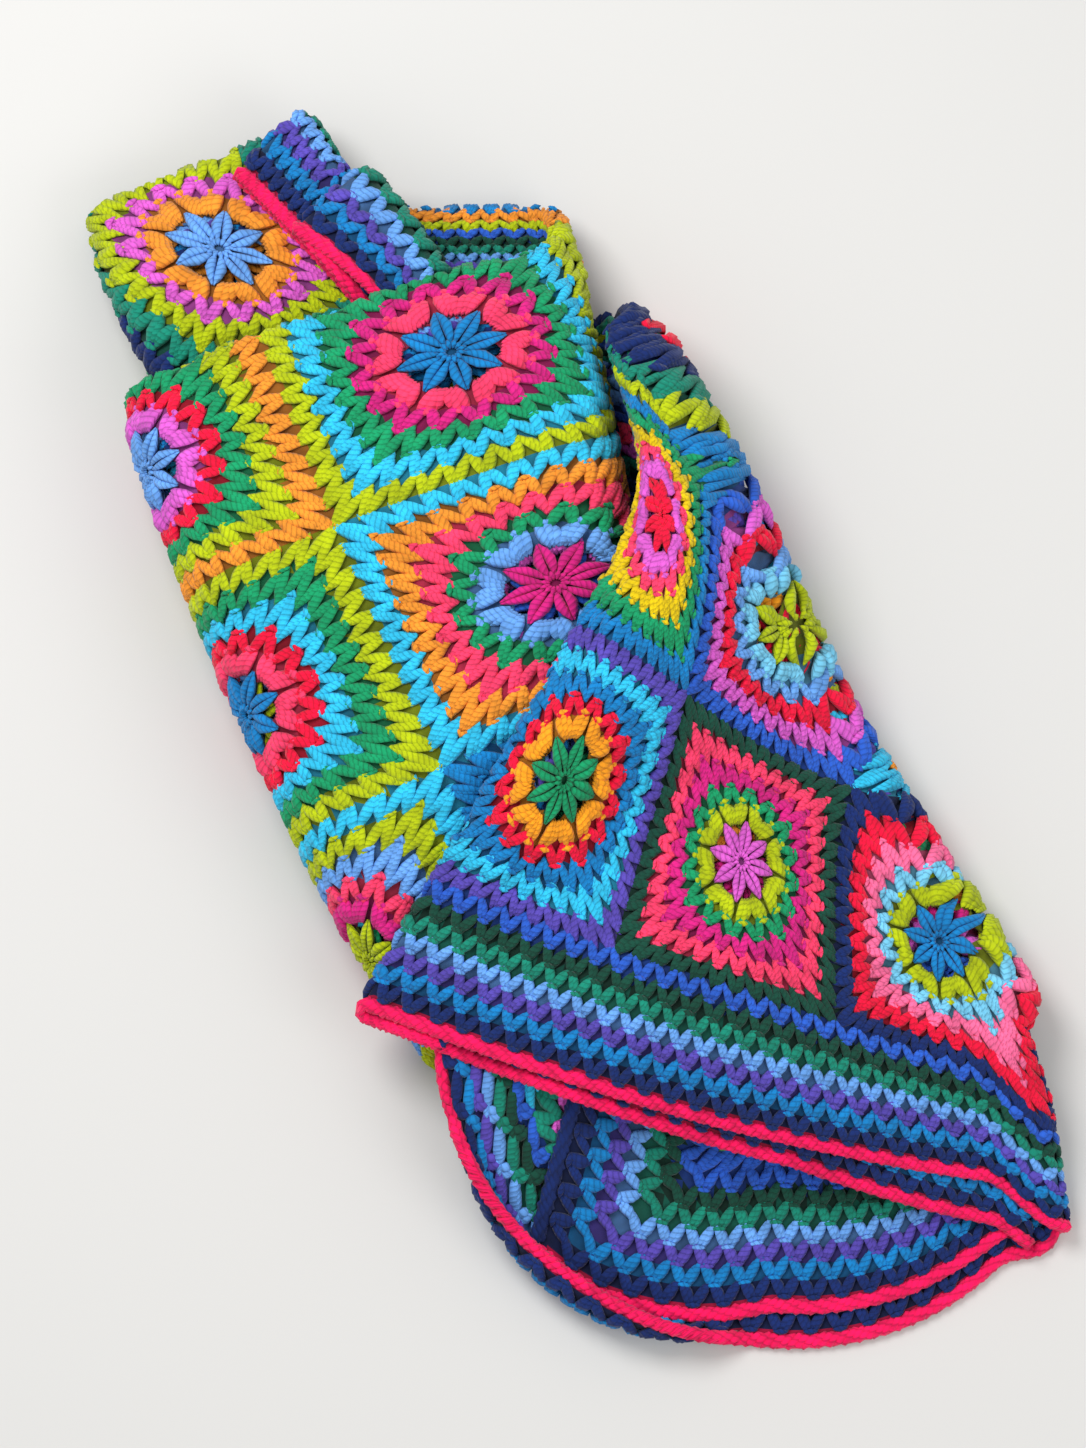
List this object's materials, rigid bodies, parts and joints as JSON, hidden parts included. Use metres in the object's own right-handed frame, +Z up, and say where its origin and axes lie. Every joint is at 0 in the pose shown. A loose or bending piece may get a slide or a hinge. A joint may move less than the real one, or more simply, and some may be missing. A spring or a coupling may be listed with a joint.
{
  "type": "granny square blanket",
  "caption": "Crocheted patchwork blanket folded into a loose bundle, with flower-centred squares in bright colours, a zigzag border and a pink edge.",
  "frame": {"origin": "centre of the folded bundle's plan, on the floor it lies on", "axes": "+Z up from the floor, +Y towards the far side of the bundle and along its longest side, +X to the right"},
  "size_m": [0.7106, 0.894, 0.1895],
  "materials": {
    "yarn": "matte crocheted yarn in many colours"
  },
  "bodies": {
    "root": {"blanket": "yarn"}
  },
  "joints": []
}
